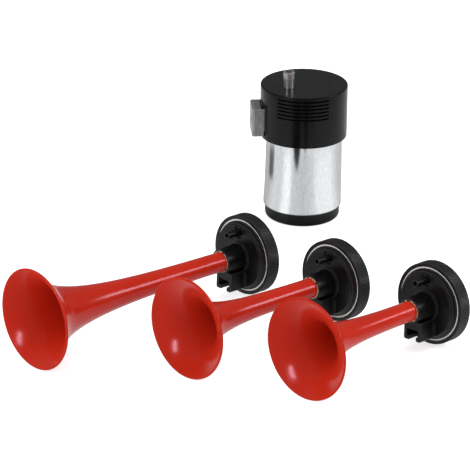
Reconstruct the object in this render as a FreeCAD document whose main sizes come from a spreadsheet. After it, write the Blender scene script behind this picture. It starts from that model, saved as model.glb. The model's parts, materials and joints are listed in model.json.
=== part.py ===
"""Air horn set: three red trumpets of different length and the vane compressor that blows them.

Row frame: +Z up, floor at Z = 0, origin under the middle of the set, bells towards -Y.
Each trumpet is drawn along its own +Z (bell forward, +Y up, zero on the rear cap's front plane).
The compressor is drawn upright on its own axis, with the mounting bracket on +X.
"""
import FreeCAD, Part
import Sketcher
import math
import os

vec = FreeCAD.Vector
doc = FreeCAD.newDocument("air_horn_set")
sheet = doc.addObject("Spreadsheet::Sheet", "sizes")

SIZES = {
    "places of the four items on the floor, from the middle trumpet's mouth": {
        "long_across": -80.5, "long_along": -66.8, "long_turn": -1.6, "long_roll": 0.0,
        "middle_across": 0.0, "middle_along": 0.0, "middle_turn": -0.3, "middle_roll": 0.0,
        "short_across": 78.0, "short_along": 37.0, "short_turn": 1.9, "short_roll": 3.0,
        "compressor_across": -151.6, "compressor_along": 260.0, "compressor_turn": 231.4,
    },
    "trumpets": {
        "long_length": 190.5, "long_throat_flare": 38.0, "long_mouth_part": 8.7,
        "middle_length": 138.5, "middle_throat_flare": 22.0, "middle_mouth_part": 12.6,
        "short_length": 124.8, "short_throat_flare": 22.0, "short_mouth_part": 12.6,
        "mouth_radius": 35.9, "mouth_flare": 8.0, "lip_bead_radius": 0.75,
        "tube_radius": 7.2, "tube_wall": 1.6, "tube_straight": 4.0,
    },
    "head housing": {
        "thread_radius": 25.2, "housing_back": 5.6, "rim_front": 0.9, "rim_ledge": 2.4,
        "bevel_step": 1.0, "ledge_step": 1.4, "face_step": 0.9, "face_front": 3.6,
        "collar_gap": 0.4, "collar_wall": 1.5, "collar_front": 4.7,
        "neck_wall": 1.0, "neck_taper": 0.4, "neck_front": 20.5, "tube_seat": 6.0,
        "chamber_wall": 5.2, "chamber_front": 1.4, "nozzle_wall": 1.7, "nozzle_gap": 0.05,
        "inlet_inset": 6.4, "inlet_root_radius": 3.1, "inlet_radius": 2.6,
        "inlet_root_height": 3.6, "inlet_front": 15.4, "inlet_bore_radius": 1.1,
        "inlet_mouth_wall": 0.85, "inlet_mouth_depth": 9.0, "inlet_chamfer": 0.3,
        "recess_radius": 5.3, "recess_wall": 0.5, "recess_depth": 1.1,
        "foot_wall": 2.2, "foot_front": 16.7, "foot_bottom": 22.8, "foot_round": 1.3,
        "bolt_slot_width": 6.6, "bolt_head_width": 11.0, "bolt_head_height": 5.4,
        "foot_lip": 2.8, "flange_width": 1.6, "flange_lift": 2.0, "flange_round": 2.0,
    },
    "small pieces of a head": {
        "glue_depth": 1.6, "glue_width": 0.8, "glue_proud": 0.2,
        "gasket_thickness": 0.8, "seal_inset": 0.8, "diaphragm_thickness": 0.2,
        "lock_ring_slack": 0.15, "lock_ring_width": 1.35, "lock_ring_depth": 1.5,
        "lock_ring_recess": 0.45, "lock_ring_edge": 0.25, "lock_ring_clear": 0.1,
        "lock_ring_gap": 0.05,
    },
    "rear cap": {
        "cap_wall": 4.0, "cap_rim_width": 10.3, "cap_front_chamfer": 0.35,
        "cap_back_chamfer": 0.7, "cap_thread_gap": 0.1, "cap_clamp_gap": 0.05,
        "cap_relief_depth": 1.0, "knurl_depth": 0.2, "knurl_count": 140,
        "back_land": 8.3, "back_recess_depth": 0.5,
    },
    "compressor covers": {
        "base_inset": 1.35, "base_height": 9.6, "base_round": 2.6, "base_wall": 2.2,
        "base_floor": 2.2, "base_collar_wall": 2.0,
        "can_radius": 29.75, "can_wall": 1.2, "can_top": 70.0, "can_floor": 1.4,
        "can_round": 1.3, "hub_wall": 2.5, "hub_bottom": 4.8, "hub_floor": 0.8,
        "cover_wall": 3.1, "cover_lap": 4.0, "cover_height": 40.1, "cover_gap": 0.15,
        "cover_top_wall": 3.0, "cover_edge_round": 0.8, "gate_radius": 0.9, "gate_height": 0.25,
    },
    "louvres": {
        "louvre_drop": 3.3, "louvre_pitch": 2.86, "louvre_height": 1.3, "louvre_count": 6,
        "louvre_angle": 71.7, "louvre_turn": -7.2,
        "filter_thickness": 2.6, "filter_gap": 0.05, "filter_height": 16.9, "filter_drop": 0.2,
        "filter_angle": 84.0,
    },
    "bracket": {
        "bracket_gap": 5.6, "bracket_half_width": 11.2, "bracket_plate": 1.5,
        "bracket_low": 68.2, "bracket_height": 21.7, "bracket_bend": 2.2,
        "bracket_tab_back": 1.9, "bracket_tab_length": 5.0, "bracket_hole_radius": 3.3,
        "bracket_slot_gap": 0.2, "bracket_tab_lift": 2.5, "bracket_side_back": 1.3,
    },
    "motor": {
        "shaft_radius": 2.5, "shaft_end_gap": 0.4, "shaft_clear": 0.03, "end_play": 0.05,
        "bush_wall": 3.5, "lower_bush_length": 5.0, "upper_bush_length": 5.0,
        "washer_wall": 2.1, "washer_thickness": 0.5, "washer_clear": 0.05,
        "air_gap": 0.6, "magnet_gap": 0.05, "magnet_overhang": 5.0, "magnet_angle": 130.0,
        "core_radius": 22.4, "core_length": 30.0, "core_slots": 12,
        "slot_inner": 11.0, "slot_tip": 2.0, "slot_inner_half": 1.5, "slot_outer_half": 3.1,
        "slot_mouth_half": 1.1, "coil_clear": 0.2, "coil_end": 5.0, "coil_end_inner": 9.0,
        "coil_end_step": 0.4, "coil_end_round": 1.8, "coil_gap": 2.0,
        "commutator_radius": 8.5, "commutator_length": 9.0,
        "commutator_slit": 0.5, "commutator_slit_depth": 1.2,
    },
    "brush gear": {
        "card_drop": 3.6, "card_thickness": 2.0, "card_clear": 2.5, "card_gap": 0.15,
        "box_clear": 1.5, "box_inset": 3.4, "box_half_width": 3.6, "box_height": 6.6,
        "brush_half_width": 2.5, "brush_height": 5.0, "brush_length": 10.0, "brush_gap": 0.06,
        "brush_clear": 0.1, "spring_strip": 0.3, "spring_bow": 1.6,
        "blade_inner": 5.0, "blade_width": 6.3, "blade_thickness": 0.8, "blade_root": 9.4,
        "blade_reach": 8.5, "blade_hole_radius": 0.9, "blade_hole_back": 3.6,
        "blade_notch_gap": 0.6, "blade_corner": 1.2, "notch_depth": 5.4,
    },
    "end plate and pump": {
        "plate_thickness": 2.0, "plate_hub_wall": 2.0, "plate_hub_drop": 3.4,
        "shaft_hole_clear": 0.7,
        "gasket_low_thickness": 0.5, "gasket_low_width": 5.0,
        "pump_inset": 3.75, "lower_plate_thickness": 2.5, "ring_height": 14.0,
        "upper_plate_thickness": 3.0, "ring_wall": 7.0, "ring_across": 1.84, "ring_along": 0.49,
        "rotor_clear": 0.1, "rotor_play": 0.05, "vane_count": 4, "vane_slot": 3.0,
        "rotor_web": 4.0, "vane_clear": 0.05, "vane_tip_back": 0.1, "drive_flat": 0.5,
        "drive_clear": 0.02,
        "screw_inset": 2.6, "screw_radius": 1.75, "screw_hole_clear": 0.15,
        "screw_head_wall": 1.55, "screw_head_height": 2.4, "screw_socket_wall": 1.6,
        "screw_socket_depth": 1.3, "screw_angle": 45.0, "screw_count": 4,
        "intake_radius": 2.2, "intake_across": 3.2, "intake_along": 18.0,
        "outlet_across": 12.4, "outlet_along": 6.4, "outlet_boss_wall": 2.6,
        "outlet_port_radius": 2.0, "port_step_share": 0.14, "port_depth": 1.5,
    },
    "outlet nipple": {
        "nipple_radius": 4.0, "nipple_wall": 1.0, "nipple_height": 12.3, "nipple_barb": 0.4,
        "nipple_land": 5.8, "nipple_chamfer": 0.6, "nipple_hole_gap": 0.15,
        "seal_wall": 3.0, "seal_thickness": 1.6,
    },
}
OVERRUN = 1.0
FULL_TURN = 360.0
FLARE_STEPS = 14
FLARE_CROWDING = 1.6
SLOPE_STEP = 0.01


class Size:
    """A number together with the sheet expression that gives it."""

    def __init__(self, value, text):
        self.value = value
        self.text = text

    def joined(self, other, sign, value):
        return Size(value, "(%s %s %s)" % (self.text, sign, other.text))

    def __add__(self, other):
        other = as_size(other)
        return self.joined(other, "+", self.value + other.value)

    def __sub__(self, other):
        other = as_size(other)
        return self.joined(other, "-", self.value - other.value)

    def __mul__(self, other):
        other = as_size(other)
        return self.joined(other, "*", self.value * other.value)

    def __truediv__(self, other):
        other = as_size(other)
        return self.joined(other, "/", self.value / other.value)

    def __neg__(self):
        return as_size(0) - self


def as_size(number):
    return number if isinstance(number, Size) else Size(number, repr(number))


class Sizes:
    """The sheet's values by their alias."""

    def __getattr__(self, alias):
        return Size(float(getattr(sheet, alias)), "sizes." + alias)


def fill_sheet():
    row = 0
    for group, values in SIZES.items():
        row += 1
        sheet.set("A%d" % row, group)
        for alias, value in values.items():
            row += 1
            sheet.set("A%d" % row, alias)
            sheet.set("B%d" % row, str(value))
            sheet.setAlias("B%d" % row, alias)
    doc.recompute()


fill_sheet()
d = Sizes()
pieces = {}


# Sizes that follow from others

def long_side(one, other):
    """Longest side of a right triangle with these two sides."""
    value = math.hypot(one.value, other.value)
    return Size(value, "sqrt(%s ^ 2 + %s ^ 2)" % (one.text, other.text))


throat_radius = d.tube_radius - d.tube_wall
nozzle_radius = throat_radius + d.nozzle_wall
glue_radius = d.tube_radius + d.glue_width
neck_tip_radius = glue_radius + d.neck_wall
neck_root_radius = neck_tip_radius + d.neck_taper
collar_bore_radius = neck_root_radius + d.collar_gap
collar_radius = collar_bore_radius + d.collar_wall
ledge_radius = d.thread_radius - d.ledge_step
chamber_radius = d.thread_radius - d.chamber_wall
inlet_height = d.thread_radius - d.inlet_inset
inlet_mouth_radius = d.inlet_radius - d.inlet_mouth_wall
foot_half_width = d.bolt_head_width / 2 + d.foot_wall
diaphragm_radius = d.thread_radius - d.seal_inset
lock_ring_bore = d.thread_radius + d.lock_ring_slack
lock_ring_radius = lock_ring_bore + d.lock_ring_width
cap_bore = d.thread_radius + d.cap_thread_gap
cap_rim_radius = cap_bore + d.cap_wall
ring_seat_radius = lock_ring_radius + d.lock_ring_clear
ring_seat_back = -(d.lock_ring_recess + d.lock_ring_depth + d.lock_ring_gap)
back_recess_radius = cap_rim_radius - d.back_land

base_radius = d.can_radius - d.base_inset
can_bore = d.can_radius - d.can_wall
cover_bore = d.can_radius + d.cover_gap
cover_radius = cover_bore + d.cover_wall
cover_bottom = d.can_top - d.cover_lap
cover_top = cover_bottom + d.cover_height
cover_roof = cover_top - d.cover_top_wall
louvre_first = cover_top - d.louvre_drop
filter_high = cover_roof - d.filter_drop
filter_low = filter_high - d.filter_height
bracket_reach = cover_radius + d.bracket_gap + d.bracket_plate
bracket_high = d.bracket_low + d.bracket_height
bracket_tab_front = cover_bore - d.bracket_tab_back
bracket_tab_low = d.can_top + d.bracket_tab_lift
bracket_stand_off = cover_radius - d.bracket_side_back

bush_radius = d.shaft_radius + d.bush_wall
washer_radius = d.shaft_radius + d.washer_wall
hub_radius = bush_radius + d.hub_wall
plate_top = d.can_top + d.plate_thickness
plate_hub_bottom = d.can_top - d.plate_hub_drop
plate_hub_radius = bush_radius + d.plate_hub_wall
upper_bush_low = plate_top - d.upper_bush_length
commutator_high = plate_hub_bottom - d.washer_thickness - d.end_play * 2
commutator_low = commutator_high - d.commutator_length
core_high = commutator_low - d.coil_gap - d.coil_end
core_low = core_high - d.core_length
slot_outer = d.core_radius - d.slot_tip
coil_end_outer = slot_outer - d.coil_end_step
magnet_bore = d.core_radius + d.air_gap
magnet_radius = can_bore - d.magnet_gap
magnet_low = core_low - d.magnet_overhang
magnet_high = core_high + d.magnet_overhang
card_radius = can_bore - d.card_gap
card_low = d.can_top - d.card_drop
card_bore = d.commutator_radius + d.card_clear
box_start = d.commutator_radius + d.box_clear
box_end = card_radius - d.box_inset
brush_end = d.commutator_radius + d.brush_length
blade_start = card_radius - d.blade_root
blade_end = cover_radius + d.blade_reach
notch_start = card_radius - d.notch_depth

gasket_low_top = plate_top + d.gasket_low_thickness
pump_floor = gasket_low_top + d.lower_plate_thickness
pump_roof = pump_floor + d.ring_height
pump_top = pump_roof + d.upper_plate_thickness
pump_radius = d.can_radius - d.pump_inset
gasket_low_bore = pump_radius - d.gasket_low_width
ring_bore_radius = pump_radius - d.ring_wall
pump_rotor_radius = ring_bore_radius - long_side(d.ring_across, d.ring_along) - d.rotor_clear
vane_slot_root = d.shaft_radius + d.rotor_web
shaft_hole_radius = d.shaft_radius + d.shaft_hole_clear
shaft_top = pump_roof - d.shaft_end_gap
screw_circle = pump_radius - d.screw_inset
screw_hole_radius = d.screw_radius + d.screw_hole_clear
screw_head_radius = d.screw_radius + d.screw_head_wall
screw_socket_radius = screw_head_radius - d.screw_socket_wall
outlet_boss_radius = d.nipple_radius + d.outlet_boss_wall
boss_top = cover_roof - d.seal_thickness
seal_radius = d.nipple_radius + d.seal_wall
nipple_bore = d.nipple_radius - d.nipple_wall
nipple_top = cover_top + d.nipple_height
nipple_land_radius = d.nipple_radius + d.nipple_barb
nipple_land_height = nipple_top - d.nipple_land


# Sketch and feature helpers

def new_body(label):
    body = doc.addObject("PartDesign::Body", "Body_" + label)
    body.Label = label
    pieces[label] = body
    return body


def new_sketch(body, plane, lift=None, turn=None):
    """A sketch on an origin plane, lifted along its normal and turned about its own vertical."""
    sketch = body.newObject("Sketcher::SketchObject", "Sketch_" + body.Label)
    role = [o for o in body.Origin.OriginFeatures if o.Role == plane][0]
    sketch.AttachmentSupport = [(role, "")]
    sketch.MapMode = "FlatFace"
    if turn is not None:
        sketch.AttachmentOffset = FreeCAD.Placement(vec(), FreeCAD.Rotation(vec(0, 1, 0), turn.value))
        sketch.setExpression("AttachmentOffset.Rotation.Angle", turn.text)
    if lift is not None:
        sketch.setExpression("AttachmentOffset.Base.z", lift.text)
    return sketch


def fix_distance(sketch, kind, geometry, end, size):
    """Holds one coordinate of a line or arc end at a size from the sheet."""
    if size.value == 0 and "sizes." not in size.text:
        axis = -2 if kind == "DistanceX" else -1
        sketch.addConstraint(Sketcher.Constraint("PointOnObject", geometry, end, axis))
        return
    index = sketch.addConstraint(Sketcher.Constraint(kind, -1, 1, geometry, end, size.value))
    sketch.setExpression("Constraints[%d]" % index, size.text)


def add_outline(sketch, corners):
    """A closed outline. A corner is (x, y), or (x, y, radius, side) where an arc leads to it,
    side +1 for an arc that turns left on its way and -1 for one that turns right."""
    corners = [tuple(as_size(c) for c in corner[:3]) + tuple(corner[3:]) for corner in corners]
    first = sketch.GeometryCount
    count = len(corners)
    ends = []
    for i in range(count):
        here, there = corners[i], corners[(i + 1) % count]
        a = vec(here[0].value, here[1].value, 0)
        b = vec(there[0].value, there[1].value, 0)
        if len(there) == 2:
            sketch.addGeometry(Part.LineSegment(a, b), False)
            ends.append((1, 2))
            continue
        radius, side = there[2].value, there[3]
        chord = b - a
        rise = math.sqrt(max(radius ** 2 - (chord.Length / 2) ** 2, 0))
        normal = vec(-chord.y, chord.x, 0).normalize() * side
        centre = (a + b) * 0.5 + normal * rise
        start, stop = (a, b) if side > 0 else (b, a)
        angles = [math.atan2(p.y - centre.y, p.x - centre.x) for p in (start, stop)]
        circle = Part.Circle(centre, vec(0, 0, 1), radius)
        sketch.addGeometry(Part.ArcOfCircle(circle, angles[0], angles[1]), False)
        ends.append((1, 2) if side > 0 else (2, 1))
    for i in range(count):
        following = (i + 1) % count
        sketch.addConstraint(Sketcher.Constraint(
            "Coincident", first + i, ends[i][1], first + following, ends[following][0]))
    for i in range(count):
        fix_distance(sketch, "DistanceX", first + i, ends[i][0], corners[i][0])
        fix_distance(sketch, "DistanceY", first + i, ends[i][0], corners[i][1])
        there = corners[(i + 1) % count]
        if len(there) > 2:
            index = sketch.addConstraint(Sketcher.Constraint("Radius", first + i, there[2].value))
            sketch.setExpression("Constraints[%d]" % index, there[2].text)


def box_outline(sketch, left, low, right, high):
    add_outline(sketch, [(left, low), (right, low), (right, high), (left, high)])


def add_circle(sketch, x, y, radius):
    x, y = as_size(x), as_size(y)
    index = sketch.addGeometry(Part.Circle(vec(x.value, y.value, 0), vec(0, 0, 1), radius.value), False)
    fix_distance(sketch, "DistanceX", index, 3, x)
    fix_distance(sketch, "DistanceY", index, 3, y)
    limit = sketch.addConstraint(Sketcher.Constraint("Radius", index, radius.value))
    sketch.setExpression("Constraints[%d]" % limit, radius.text)


def revolve(body, corners, angle=None, turn=None, cut=False):
    """Turns an outline of (radius, height) corners about the body's Z axis."""
    plane = "YZ_Plane" if cut else "XZ_Plane"
    sketch = new_sketch(body, plane, turn=turn)
    add_outline(sketch, corners)
    kind = "PartDesign::Groove" if cut else "PartDesign::Revolution"
    feature = body.newObject(kind, "Turned_" + body.Label)
    feature.Profile = sketch
    feature.ReferenceAxis = (sketch, ["V_Axis"])
    feature.Angle = FULL_TURN if angle is None else angle.value
    if angle is not None:
        feature.Midplane = True
        feature.setExpression("Angle", angle.text)
    sketch.Visibility = False
    return feature


def extrude(body, sketch, length, cut=False, reverse=False):
    """Pads along the sketch's normal, or cuts against it; reverse swaps the direction."""
    kind = "PartDesign::Pocket" if cut else "PartDesign::Pad"
    feature = body.newObject(kind, ("Cut_" if cut else "Pad_") + body.Label)
    feature.Profile = sketch
    feature.Reversed = reverse
    feature.setExpression("Length", as_size(length).text)
    return feature


def turned(label, corners, **options):
    body = new_body(label)
    revolve(body, corners, **options)
    return body


def plain_ring(label, bore, radius, low, high):
    return turned(label, [(bore, low), (radius, low), (radius, high), (bore, high)])


def pattern_round(body, feature, count):
    pattern = body.newObject("PartDesign::PolarPattern", "Round_" + body.Label)
    pattern.Originals = [feature]
    axis = [o for o in body.Origin.OriginFeatures if o.Role == "Z_Axis"][0]
    pattern.Axis = (axis, [""])
    pattern.Angle = FULL_TURN
    pattern.Occurrences = int(count.value)
    pattern.setExpression("Occurrences", count.text)
    body.Tip = pattern
    return pattern


def shaped(label, shape):
    piece = doc.addObject("Part::Feature", "Shape_" + label)
    piece.Label = label
    piece.Shape = shape
    pieces[label] = piece
    return piece


# Trumpets and their heads

def flare_run(name):
    """Length of the flared part, from the straight tube to the back of the lip's bead."""
    length = getattr(d, name + "_length")
    return (length - d.lip_bead_radius * 2 - d.neck_front - d.tube_straight).value


def flare_radius(name, back):
    """Outer radius of a trumpet at a distance back from its lip: two decaying flares added."""
    mouth_part = getattr(d, name + "_mouth_part").value
    throat_flare = getattr(d, name + "_throat_flare").value
    start_radius = (d.mouth_radius - d.lip_bead_radius).value
    throat_part = start_radius - d.tube_radius.value - mouth_part

    def rise(distance):
        return (mouth_part * math.exp(-distance / d.mouth_flare.value)
                + throat_part * math.exp(-distance / throat_flare))

    end = rise(flare_run(name))
    share = (rise(back) - end) / (rise(0) - end)
    return d.tube_radius.value + (start_radius - d.tube_radius.value) * share


def make_trumpet(name):
    """A moulded bell: straight tube, flare by formula with an even wall, beaded lip."""
    length = getattr(d, name + "_length").value
    straight_end = (d.neck_front + d.tube_straight).value
    bead, wall = d.lip_bead_radius.value, d.tube_wall.value
    tube, seat = d.tube_radius.value, d.tube_seat.value
    flare_length = flare_run(name)
    outer, inner = [], []
    for step in range(FLARE_STEPS + 1):
        back = flare_length * (1 - step / FLARE_STEPS) ** FLARE_CROWDING
        radius = flare_radius(name, back)
        slope = (flare_radius(name, back - SLOPE_STEP) - flare_radius(name, back + SLOPE_STEP))
        slope = slope / (2 * SLOPE_STEP)
        run = math.hypot(1, slope)
        height = length - 2 * bead - back
        outer.append(vec(radius, 0, height))
        inner.append(vec(radius - wall / run, 0, height + wall * slope / run))
    outer[0] = vec(tube, 0, straight_end)
    inner[0] = vec(tube - wall, 0, straight_end)
    outer_curve = Part.BSplineCurve()
    outer_curve.interpolate(outer)
    inner_curve = Part.BSplineCurve()
    inner_curve.interpolate(inner)
    lip = vec(outer[-1].x, 0, length)
    crest = vec(outer[-1].x + bead, 0, length - bead)
    edges = [
        Part.LineSegment(vec(tube - wall, 0, seat), vec(tube, 0, seat)),
        Part.LineSegment(vec(tube, 0, seat), outer[0]),
        outer_curve, Part.Arc(outer[-1], crest, lip), Part.LineSegment(lip, inner[-1]),
        inner_curve, Part.LineSegment(inner[0], vec(tube - wall, 0, seat)),
    ]
    wire = Part.Wire(Part.__sortEdges__([edge.toShape() for edge in edges]))
    return shaped(name + "_trumpet", Part.Face(wire).revolve(vec(), vec(0, 0, 1), FULL_TURN))


def add_cone(body, label, low, height, low_radius, high_radius):
    """Cone on the inlet's axis, standing on the level low."""
    cone = body.newObject("PartDesign::AdditiveCone", label)
    floor = [o for o in body.Origin.OriginFeatures if o.Role == "XY_Plane"][0]
    cone.AttachmentSupport = [(floor, "")]
    cone.MapMode = "FlatFace"
    cone.setExpression("Radius1", low_radius.text)
    cone.setExpression("Radius2", high_radius.text)
    cone.setExpression("Height", height.text)
    cone.setExpression("AttachmentOffset.Base.y", inlet_height.text)
    cone.setExpression("AttachmentOffset.Base.z", low.text)
    doc.recompute()


def make_housing(name):
    """Moulded head: threaded rim, neck for the tube, hose inlet above, bolt foot below."""
    nozzle_back = -(d.housing_back + d.gasket_thickness - d.nozzle_gap)
    body = turned(name + "_head_housing", [
        (throat_radius, nozzle_back), (nozzle_radius, nozzle_back),
        (nozzle_radius, d.chamber_front), (chamber_radius, d.chamber_front),
        (chamber_radius, -d.housing_back), (d.thread_radius, -d.housing_back),
        (d.thread_radius, d.rim_front), (d.thread_radius - d.bevel_step, d.rim_ledge),
        (ledge_radius, d.rim_ledge), (ledge_radius - d.face_step, d.face_front),
        (collar_radius, d.face_front), (collar_radius, d.collar_front),
        (collar_bore_radius, d.collar_front), (neck_root_radius, d.face_front),
        (neck_tip_radius, d.neck_front), (glue_radius, d.neck_front),
        (glue_radius, d.neck_front - d.glue_depth),
        (d.tube_radius, d.neck_front - d.glue_depth), (d.tube_radius, d.tube_seat),
        (throat_radius, d.tube_seat)])
    foot = new_sketch(body, "XY_Plane", lift=d.face_front - OVERRUN)
    side, low, turn = foot_half_width, -d.foot_bottom, d.foot_round
    slot, head = d.bolt_slot_width / 2, d.bolt_head_width / 2
    lip_top = low + d.foot_lip
    head_top = lip_top + d.bolt_head_height
    top = -(glue_radius + neck_tip_radius) / 2
    add_outline(foot, [
        (-side, top), (-side, low + turn), (-side + turn, low, turn, 1), (-slot, low),
        (-slot, lip_top), (-head, lip_top), (-head, head_top), (head, head_top),
        (head, lip_top), (slot, lip_top), (slot, low), (side - turn, low),
        (side, low + turn, turn, 1), (side, top)])
    extrude(body, foot, d.foot_front - d.face_front + OVERRUN)
    flange = new_sketch(body, "XY_Plane", lift=d.face_front - OVERRUN)
    side, low, turn = side + d.flange_width, low + d.flange_lift, d.flange_round
    top = -(collar_bore_radius + collar_radius) / 2
    add_outline(flange, [
        (side, low), (side, top - turn), (side - turn, top, turn, 1), (-side + turn, top),
        (-side, top - turn, turn, 1), (-side, low)])
    extrude(body, flange, d.collar_front - d.face_front + OVERRUN)
    recess = new_sketch(body, "XY_Plane", lift=d.face_front)
    add_circle(recess, 0, inlet_height, d.recess_radius)
    extrude(body, recess, d.recess_depth, cut=True)
    root = d.face_front - d.recess_depth - d.recess_wall
    land_top = d.inlet_front - d.inlet_chamfer
    add_cone(body, "InletRoot_" + name, root, d.inlet_root_height, d.inlet_root_radius, d.inlet_radius)
    tube = new_sketch(body, "XY_Plane", lift=root + d.inlet_root_height / 2)
    add_circle(tube, 0, inlet_height, d.inlet_radius)
    extrude(body, tube, land_top - root - d.inlet_root_height / 2)
    add_cone(body, "InletTip_" + name, land_top, d.inlet_chamfer, d.inlet_radius,
             d.inlet_radius - d.inlet_chamfer)
    bore = new_sketch(body, "XY_Plane", lift=d.inlet_front + OVERRUN)
    add_circle(bore, 0, inlet_height, d.inlet_bore_radius)
    extrude(body, bore, d.inlet_front - d.chamber_front + OVERRUN * 2, cut=True)
    mouth = new_sketch(body, "XY_Plane", lift=d.inlet_front + OVERRUN)
    add_circle(mouth, 0, inlet_height, inlet_mouth_radius)
    extrude(body, mouth, d.inlet_mouth_depth + OVERRUN, cut=True)
    return body


def make_head_seals(name):
    """What is closed into a head: glue ring, gasket, steel diaphragm and the lock ring outside."""
    glue_low = d.neck_front - d.glue_depth
    turned(name + "_glue_ring", [
        (d.tube_radius, glue_low), (glue_radius, glue_low),
        (glue_radius, d.neck_front), (d.tube_radius, d.neck_front + d.glue_proud)])
    gasket_back = -d.housing_back - d.gasket_thickness
    plain_ring(name + "_gasket", chamber_radius, diaphragm_radius, gasket_back, -d.housing_back)
    turned(name + "_diaphragm", [
        (0, gasket_back - d.diaphragm_thickness),
        (diaphragm_radius, gasket_back - d.diaphragm_thickness),
        (diaphragm_radius, gasket_back), (0, gasket_back)])
    edge, front = d.lock_ring_edge, -d.lock_ring_recess
    back = front - d.lock_ring_depth
    turned(name + "_lock_ring", [
        (lock_ring_bore, back), (lock_ring_radius, back), (lock_ring_radius, front - edge),
        (lock_ring_radius - edge, front), (lock_ring_bore + edge, front),
        (lock_ring_bore, front - edge)])


def knurled_cap_shape():
    """Screw cap turned from a disc whose rim has fine straight ribs for the fingers."""
    count = int(d.knurl_count.value)
    crest = cap_rim_radius.value
    valley = crest - d.knurl_depth.value
    back = -d.cap_rim_width.value
    ribs = []
    for i in range(2 * count):
        angle = math.pi * i / count
        radius = crest if i % 2 == 0 else valley
        ribs.append(vec(radius * math.cos(angle), radius * math.sin(angle), back))
    ribbed = Part.Face(Part.makePolygon(ribs + ribs[:1])).extrude(vec(0, 0, -back))
    clamp = -(d.housing_back + d.gasket_thickness + d.diaphragm_thickness + d.cap_clamp_gap).value
    relief = clamp - d.cap_relief_depth.value
    recess = back + d.back_recess_depth.value
    chamfer, end_chamfer = d.cap_front_chamfer.value, d.cap_back_chamfer.value
    outline = [
        (0, recess), (back_recess_radius.value, recess), (back_recess_radius.value, back),
        (crest - end_chamfer, back), (crest, back + end_chamfer), (crest, -chamfer),
        (crest - chamfer, 0), (ring_seat_radius.value, 0),
        (ring_seat_radius.value, ring_seat_back.value), (cap_bore.value, ring_seat_back.value),
        (cap_bore.value, clamp), (chamber_radius.value, clamp), (chamber_radius.value, relief),
        (0, relief)]
    points = [vec(r, 0, z) for r, z in outline]
    blank = Part.Face(Part.makePolygon(points + points[:1])).revolve(vec(), vec(0, 0, 1), FULL_TURN)
    return ribbed.common(blank).Solids[0]


# Compressor: covers, bracket and outlet

def make_base_cap():
    wall = base_radius - d.base_wall
    collar = hub_radius + d.base_collar_wall
    turned("base_cap", [
        (0, 0), (base_radius - d.base_round, 0),
        (base_radius, d.base_round, d.base_round, 1), (base_radius, d.base_height),
        (wall, d.base_height), (wall, d.base_floor), (collar, d.base_floor),
        (collar, d.base_height), (hub_radius, d.base_height), (hub_radius, d.base_floor),
        (0, d.base_floor)])


def make_motor_can():
    floor_top = d.base_height + d.can_floor
    wall = can_bore
    hub_floor = d.hub_bottom + d.hub_floor
    body = turned("motor_can", [
        (0, d.hub_bottom), (hub_radius, d.hub_bottom), (hub_radius, d.base_height),
        (d.can_radius - d.can_round, d.base_height),
        (d.can_radius, d.base_height + d.can_round, d.can_round, 1), (d.can_radius, d.can_top),
        (wall, d.can_top), (wall, floor_top), (bush_radius, floor_top),
        (bush_radius, hub_floor), (0, hub_floor)])
    cut_blade_notches(body, card_low + d.card_thickness - d.blade_notch_gap, d.can_top + OVERRUN)


def cut_blade_notches(body, low, high):
    """Two side by side openings for the terminal blades."""
    gap = d.blade_notch_gap
    inner, outer = d.blade_inner - gap, d.blade_inner + d.blade_width + gap
    notch = new_sketch(body, "XZ_Plane", lift=notch_start)
    box_outline(notch, inner, low, outer, high)
    box_outline(notch, -outer, low, -inner, high)
    extrude(body, notch, blade_end - notch_start, cut=True, reverse=True)


def make_top_cover():
    """Moulded cover: thick skirt over the can, six intake slots, slots for bracket and blades."""
    bore, edge = cover_bore, d.cover_edge_round
    body = turned("top_cover", [
        (0, cover_roof), (bore, cover_roof), (bore, cover_bottom), (cover_radius, cover_bottom),
        (cover_radius, cover_top - edge),
        (cover_radius - edge, cover_top, edge, 1),
        (d.gate_radius, cover_top), (d.gate_radius, cover_top + d.gate_height),
        (0, cover_top + d.gate_height)])
    half = d.louvre_height / 2
    for number in range(int(d.louvre_count.value)):
        middle = louvre_first - d.louvre_pitch * number
        revolve(body, [
            (bore - OVERRUN, middle - half), (cover_radius + OVERRUN, middle - half),
            (cover_radius + OVERRUN, middle + half), (bore - OVERRUN, middle + half)],
            angle=d.louvre_angle, turn=d.louvre_turn, cut=True)
    outlet = new_sketch(body, "XY_Plane", lift=cover_top + OVERRUN)
    add_circle(outlet, d.outlet_across, d.outlet_along, d.nipple_radius + d.nipple_hole_gap)
    extrude(body, outlet, d.cover_top_wall + OVERRUN * 2, cut=True)
    gap = d.bracket_slot_gap
    outer, inner = d.bracket_half_width + gap, d.bracket_half_width - d.bracket_plate - gap
    low, high = bracket_tab_low - gap, bracket_high + gap
    slots = new_sketch(body, "YZ_Plane", lift=bracket_tab_front - d.bracket_plate)
    box_outline(slots, inner, low, outer, high)
    box_outline(slots, -outer, low, -inner, high)
    extrude(body, slots, bracket_reach - bracket_tab_front, cut=True, reverse=True)
    blade_top = card_low + d.card_thickness + d.blade_thickness
    cut_blade_notches(body, cover_bottom - OVERRUN, blade_top + d.blade_notch_gap)


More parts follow.
